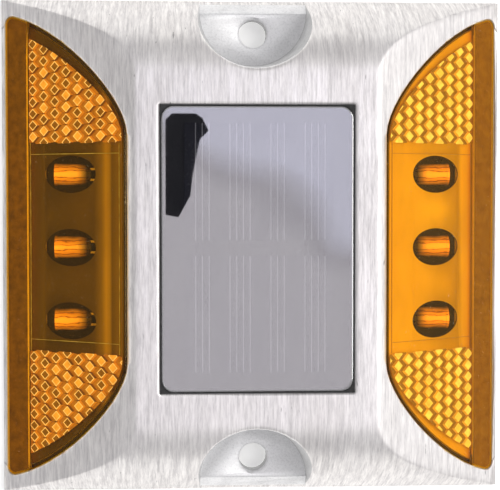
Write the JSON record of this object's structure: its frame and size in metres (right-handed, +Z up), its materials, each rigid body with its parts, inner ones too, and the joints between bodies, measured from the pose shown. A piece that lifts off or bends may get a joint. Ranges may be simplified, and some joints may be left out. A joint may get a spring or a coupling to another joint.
{
  "type": "raised pavement marker",
  "caption": "Solar-powered raised pavement marker: a low square cast body with amber lens faces on two sides, flashing LEDs, a flat solar top and recessed bolt pockets.",
  "frame": {"origin": "centre of the base's bottom face", "axes": "+Z up from the road, X across the two amber lens faces, Y through the two anchor bolt pockets"},
  "size_m": [0.118, 0.116, 0.023],
  "materials": {
    "cast_body": "sand cast, linished outer faces with fine straight brush marks, satin pockets",
    "amber_lens": "clear moulded amber polycarbonate with cube-corner prisms on the back",
    "led_lens": "amber-tinted clear epoxy",
    "white_tray": "satin white moulding",
    "clear_cover": "polished clear polycarbonate",
    "solar_silicon": "blue-black silicon with fine printed silver lines",
    "black_board": "black solder mask",
    "green_board": "green solder mask over glass laminate",
    "seal": "matt black sealant",
    "black_plastic": "fine textured black moulding",
    "resistor_body": "lacquered tan body with painted bands",
    "battery_sleeve": "shrink sleeve",
    "bright_metal": "nickel plated strip and stainless screws",
    "white_strap": "moulded nylon",
    "red_wire": "smooth insulation",
    "black_wire": "smooth insulation"
  },
  "bodies": {
    "root": {"base_gasket": "seal", "base_plate": "black_plastic", "base_screw_1": "bright_metal", "base_screw_2": "bright_metal", "base_screw_3": "bright_metal", "base_screw_4": "bright_metal", "battery": "battery_sleeve", "battery_strap": "white_strap", "battery_tab_negative": "bright_metal", "battery_tab_positive": "bright_metal", "battery_wire_negative": "black_wire", "battery_wire_positive": "red_wire", "blocking_diode": "black_plastic", "charge_inductor": "black_plastic", "controller_chip": "black_plastic", "housing": "cast_body", "led_board_left": "green_board", "led_board_right": "green_board", "led_left_1": "led_lens", "led_left_2": "led_lens", "led_left_3": "led_lens", "led_resistor_1": "resistor_body", "led_resistor_2": "resistor_body", "led_right_1": "led_lens", "led_right_2": "led_lens", "led_right_3": "led_lens", "led_wire_left": "red_wire", "led_wire_right": "red_wire", "lens_edge_seal_left": "seal", "lens_edge_seal_right": "seal", "lens_left": "amber_lens", "lens_lip_seal_left": "seal", "lens_lip_seal_right": "seal", "lens_right": "amber_lens", "lens_tray_left": "white_tray", "lens_tray_right": "white_tray", "main_board": "green_board", "solar_cell_1": "solar_silicon", "solar_cell_2": "solar_silicon", "solar_cell_3": "solar_silicon", "solar_cell_4": "solar_silicon", "solar_cell_5": "solar_silicon", "solar_cell_6": "solar_silicon", "solar_cell_7": "solar_silicon", "solar_cell_8": "solar_silicon", "solar_panel_board": "black_board", "solar_window": "clear_cover", "solar_wire_negative": "black_wire", "solar_wire_positive": "red_wire", "storage_capacitor": "black_plastic", "window_seal": "seal"}
  },
  "joints": []
}
